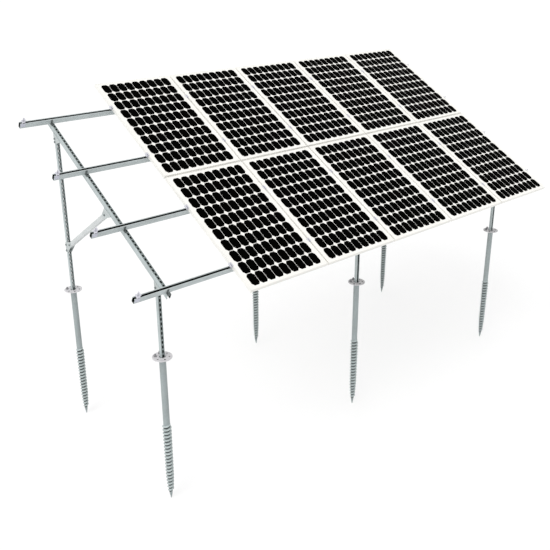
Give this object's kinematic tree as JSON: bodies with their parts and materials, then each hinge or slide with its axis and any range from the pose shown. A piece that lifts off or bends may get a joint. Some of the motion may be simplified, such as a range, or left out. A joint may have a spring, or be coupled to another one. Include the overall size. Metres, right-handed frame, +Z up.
{
  "type": "ground-mounted solar panel mounting structure with modules",
  "caption": "Tilted rack of slotted steel channel on helical ground screws, carrying framed solar modules in portrait, with one column bay left empty.",
  "frame": {"origin": "under the middle of the table, at the level of the screws' points", "axes": "+X along the module rows to the right as seen from the low side, +Y horizontally to the high back, +Z up"},
  "size_m": [6.152, 2.9536, 3.951],
  "materials": {
    "galvanised": "hot-dip galvanised, dull, faint spangle",
    "bracket_steel": "hot-dip galvanised plate",
    "screw_steel": "hot-dip galvanised tube, dull",
    "clamp_aluminium": "plain extruded aluminium",
    "panel_frame": "pale anodised aluminium, satin",
    "panel_glass": "dark cells on a white back sheet under clear glass"
  },
  "bodies": {
    "root": {"ground_screw_front_left": "screw_steel", "front_post_left": "galvanised", "ground_screw_front_middle": "screw_steel", "front_post_middle": "galvanised", "ground_screw_front_right": "screw_steel", "front_post_right": "galvanised", "ground_screw_rear_left": "screw_steel", "rear_post_left": "galvanised", "ground_screw_rear_middle": "screw_steel", "rear_post_middle": "galvanised", "ground_screw_rear_right": "screw_steel", "rear_post_right": "galvanised", "rafter_left": "galvanised", "brace_left": "galvanised", "post_heads_left": "bracket_steel", "brace_brackets_left": "bracket_steel", "rafter_middle": "galvanised", "brace_middle": "galvanised", "post_heads_middle": "bracket_steel", "brace_brackets_middle": "bracket_steel", "rafter_right": "galvanised", "brace_right": "galvanised", "post_heads_right": "bracket_steel", "brace_brackets_right": "bracket_steel", "purlin_1": "galvanised", "clamps_1": "clamp_aluminium", "purlin_2": "galvanised", "clamps_2": "clamp_aluminium", "purlin_3": "galvanised", "clamps_3": "clamp_aluminium", "purlin_4": "galvanised", "clamps_4": "clamp_aluminium", "lower_glass": "panel_glass", "lower_panel_frame_2": "panel_frame", "lower_panel_frame_3": "panel_frame", "lower_panel_frame_4": "panel_frame", "lower_panel_frame_5": "panel_frame", "lower_panel_frame_6": "panel_frame", "upper_glass": "panel_glass", "upper_panel_frame_2": "panel_frame", "upper_panel_frame_3": "panel_frame", "upper_panel_frame_4": "panel_frame", "upper_panel_frame_5": "panel_frame", "upper_panel_frame_6": "panel_frame"}
  },
  "joints": []
}
